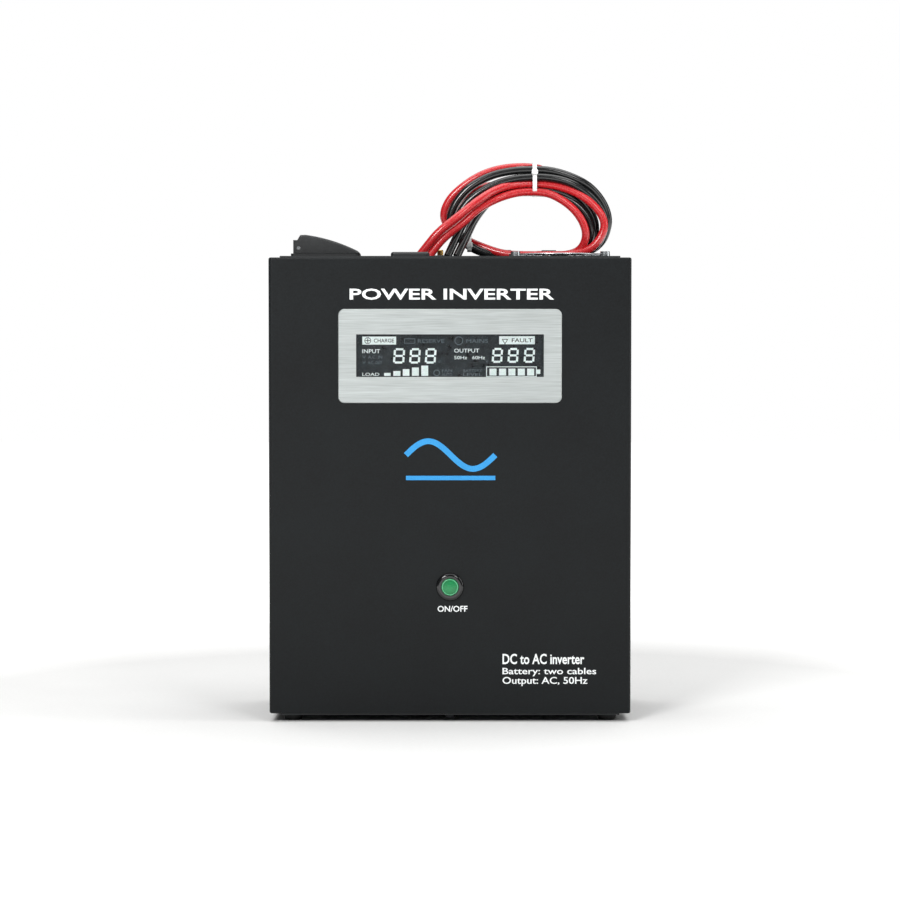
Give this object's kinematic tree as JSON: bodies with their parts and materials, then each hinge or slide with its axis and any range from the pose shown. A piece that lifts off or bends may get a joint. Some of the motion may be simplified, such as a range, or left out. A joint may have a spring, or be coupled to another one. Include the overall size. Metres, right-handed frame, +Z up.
{
  "type": "power inverter",
  "caption": "Battery power inverter in a black folded sheet case, with display, button, lidded AC outlet, AC inlet, fan and a tied coil of battery cables",
  "frame": {"origin": "centre of the case's bounding box in plan, on the surface the rubber feet stand on", "axes": "+X to the right seen from the front, -Y out of the front, +Z up"},
  "size_m": [0.2906, 0.144, 0.4535],
  "materials": {
    "case_black": "black powder coat, fine texture, satin",
    "vent_black": "black powder coat, satin",
    "chassis_black": "black powder coat, satin",
    "plate_silver": "silver plate brushed along its length",
    "lens_clear": "clear smoked window",
    "lcd_dark": "dark liquid crystal glass",
    "board_green": "printed circuit board",
    "button_black": "glossy black",
    "button_green": "green translucent plastic",
    "outlet_black": "black moulded plastic, slight sheen",
    "nylon_black": "black nylon",
    "steel": "zinc plated steel",
    "screw_black": "black oxide",
    "brass": "nickel free brass",
    "rubber_black": "matt rubber",
    "cable_red": "glossy red cable jacket",
    "cable_black": "glossy black cable jacket",
    "lug_tin": "tinned copper",
    "sleeve_black": "heat shrink sleeve",
    "tie_white": "white nylon tie",
    "fan_black": "black fan plastic",
    "copper": "varnished copper winding",
    "aluminium": "bare extruded aluminium",
    "capacitor_sleeve": "dark capacitor sleeve"
  },
  "bodies": {
    "case": {"rear_chassis": "chassis_black", "front_cover": "case_black", "left_vent_panel": "vent_black", "right_vent_panel": "vent_black", "panel_rivets": "screw_black", "cover_screws": "screw_black", "bottom_screws": "screw_black", "rubber_feet": "rubber_black", "display_plate": "plate_silver", "display_window": "lens_clear", "lcd_module": "lcd_dark", "display_board": "board_green", "button_bezel": "button_black", "button_body": "nylon_black", "button_nut": "nylon_black", "button_spring": "steel", "outlet_body": "outlet_black", "lid_hinge_pin": "steel", "lid_spring": "steel", "outlet_contacts": "brass", "earth_clips": "brass", "outlet_screws": "steel", "inlet_body": "outlet_black", "inlet_pins": "lug_tin", "breaker_body": "nylon_black", "breaker_nut": "steel", "earth_stud": "brass", "earth_nuts": "brass", "red_grommet": "rubber_black", "black_grommet": "rubber_black", "cable_coil": "cable_red", "red_lead_1": "cable_red", "red_lead_2": "cable_red", "black_lead_1": "cable_black", "black_lead_2": "cable_black", "red_tail_1": "cable_red", "red_tail_2": "cable_red", "black_tail_1": "cable_black", "black_tail_2": "cable_black", "red_lug_1": "lug_tin", "red_lug_2": "lug_tin", "black_lug_1": "lug_tin", "black_lug_2": "lug_tin", "lug_sleeves": "sleeve_black", "cable_ties": "tie_white", "fan_frame": "fan_black", "finger_guard": "steel", "fan_screws": "steel", "transformer_winding": "copper", "transformer_pads": "rubber_black", "transformer_dish": "steel", "transformer_bolt": "steel", "power_board": "board_green", "board_standoffs": "brass", "heatsinks": "aluminium", "capacitors": "capacitor_sleeve"},
    "button": {"button_cap": "button_green"},
    "lid": {"outlet_lid": "outlet_black"},
    "breaker_reset": {"breaker_button": "nylon_black"},
    "fan": {"fan_rotor": "fan_black"}
  },
  "joints": [
    {"name": "button_press", "type": "slide", "parent": "case", "child": "button", "axis": [0, 1, 0], "range_m": [0, 0.003], "stiffness_N_per_m": 400, "springref_m": -0.002, "deforming": ["button_spring"]},
    {"name": "lid_hinge", "type": "hinge", "parent": "case", "child": "lid", "pos_m": [-0.122, -0.006, 0.3784], "axis": [0, -1, 0], "range_deg": [0, 100], "stiffness_Nm_per_rad": 0.01, "springref_deg": -28.65},
    {"name": "breaker_reset_slide", "type": "slide", "parent": "case", "child": "breaker_reset", "axis": [0, 0, 1], "range_m": [0, 0.003]},
    {"name": "fan_spin", "type": "hinge", "parent": "case", "child": "fan", "pos_m": [0.088, -0.0138, 0.3569], "axis": [0, 0, 1], "continuous": true}
  ]
}
